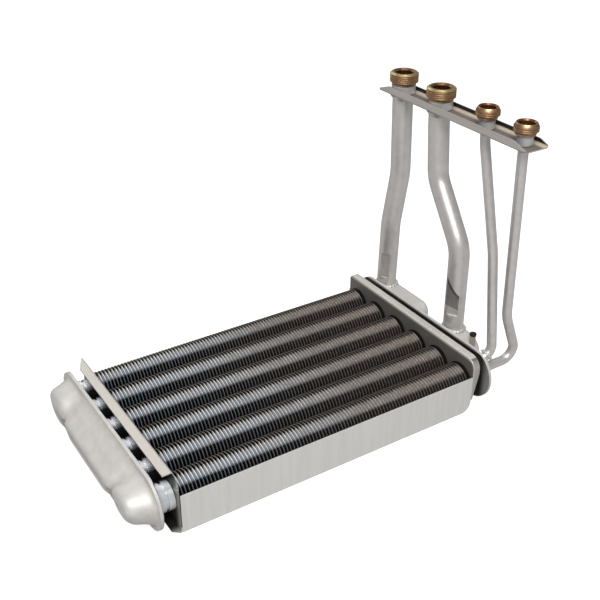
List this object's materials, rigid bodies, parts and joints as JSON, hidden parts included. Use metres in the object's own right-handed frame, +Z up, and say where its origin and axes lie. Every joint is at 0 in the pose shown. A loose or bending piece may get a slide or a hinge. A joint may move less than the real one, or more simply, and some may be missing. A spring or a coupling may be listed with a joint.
{
  "type": "boiler heat exchanger",
  "caption": "Bithermal boiler heat exchanger: finned tubes in a sheet frame, pressed headers and bent pipes up to a bracket of brass unions.",
  "frame": {"origin": "middle of the frame's base, at the level of the lower edges of its four sheets", "axes": "+Z up, +X along the finned tubes towards the header with the pipes, +Y towards the far heating pipe"},
  "size_m": [0.3991, 0.2046, 0.268],
  "materials": {
    "header_paint": "silver-grey heat-proof paint over pressed copper",
    "plate_paint": "silver-grey heat-proof paint over sheet",
    "pipe_paint": "silver-grey paint over copper tube",
    "fin_metal": "coated copper fins, dark between the tips",
    "bare_tube": "bare copper",
    "brass": "turned brass, a little tarnished",
    "collar_metal": "plated steel",
    "bracket_zinc": "zinc-plated folded sheet",
    "pocket_metal": "plated tube",
    "cap_plastic": "black moulded plastic"
  },
  "bodies": {
    "root": {"frame_end_plate_left": "plate_paint", "frame_end_plate_right": "plate_paint", "side_plate_near": "plate_paint", "side_plate_far": "plate_paint", "header_tube_plate_left": "header_paint", "header_tube_plate_right": "header_paint", "header_cap_left": "header_paint", "header_cap_right": "header_paint", "header_partition": "bare_tube", "heating_pipe_far": "pipe_paint", "heating_pipe_near": "pipe_paint", "hot_water_pipe_inner": "pipe_paint", "hot_water_pipe_outer": "pipe_paint", "connection_bracket": "bracket_zinc", "heating_union_far": "brass", "heating_union_near": "brass", "hot_water_union_inner": "brass", "hot_water_union_outer": "brass", "heating_collar_far": "collar_metal", "heating_collar_near": "collar_metal", "hot_water_collar_inner": "collar_metal", "hot_water_collar_outer": "collar_metal", "sensor_pocket": "pocket_metal", "sensor_cap": "cap_plastic", "transfer_tube": "bare_tube", "finned_tube_1": "fin_metal", "inner_water_tube_1": "bare_tube", "finned_tube_2": "fin_metal", "inner_water_tube_2": "bare_tube", "finned_tube_3": "fin_metal", "inner_water_tube_3": "bare_tube", "finned_tube_4": "fin_metal", "inner_water_tube_4": "bare_tube", "finned_tube_5": "fin_metal", "inner_water_tube_5": "bare_tube", "finned_tube_6": "fin_metal", "inner_water_tube_6": "bare_tube", "return_bend_left_1_2": "bare_tube", "return_bend_left_3_4": "bare_tube", "return_bend_left_5_6": "bare_tube", "return_bend_right_2_3": "bare_tube", "return_bend_right_4_5": "bare_tube"}
  },
  "joints": []
}
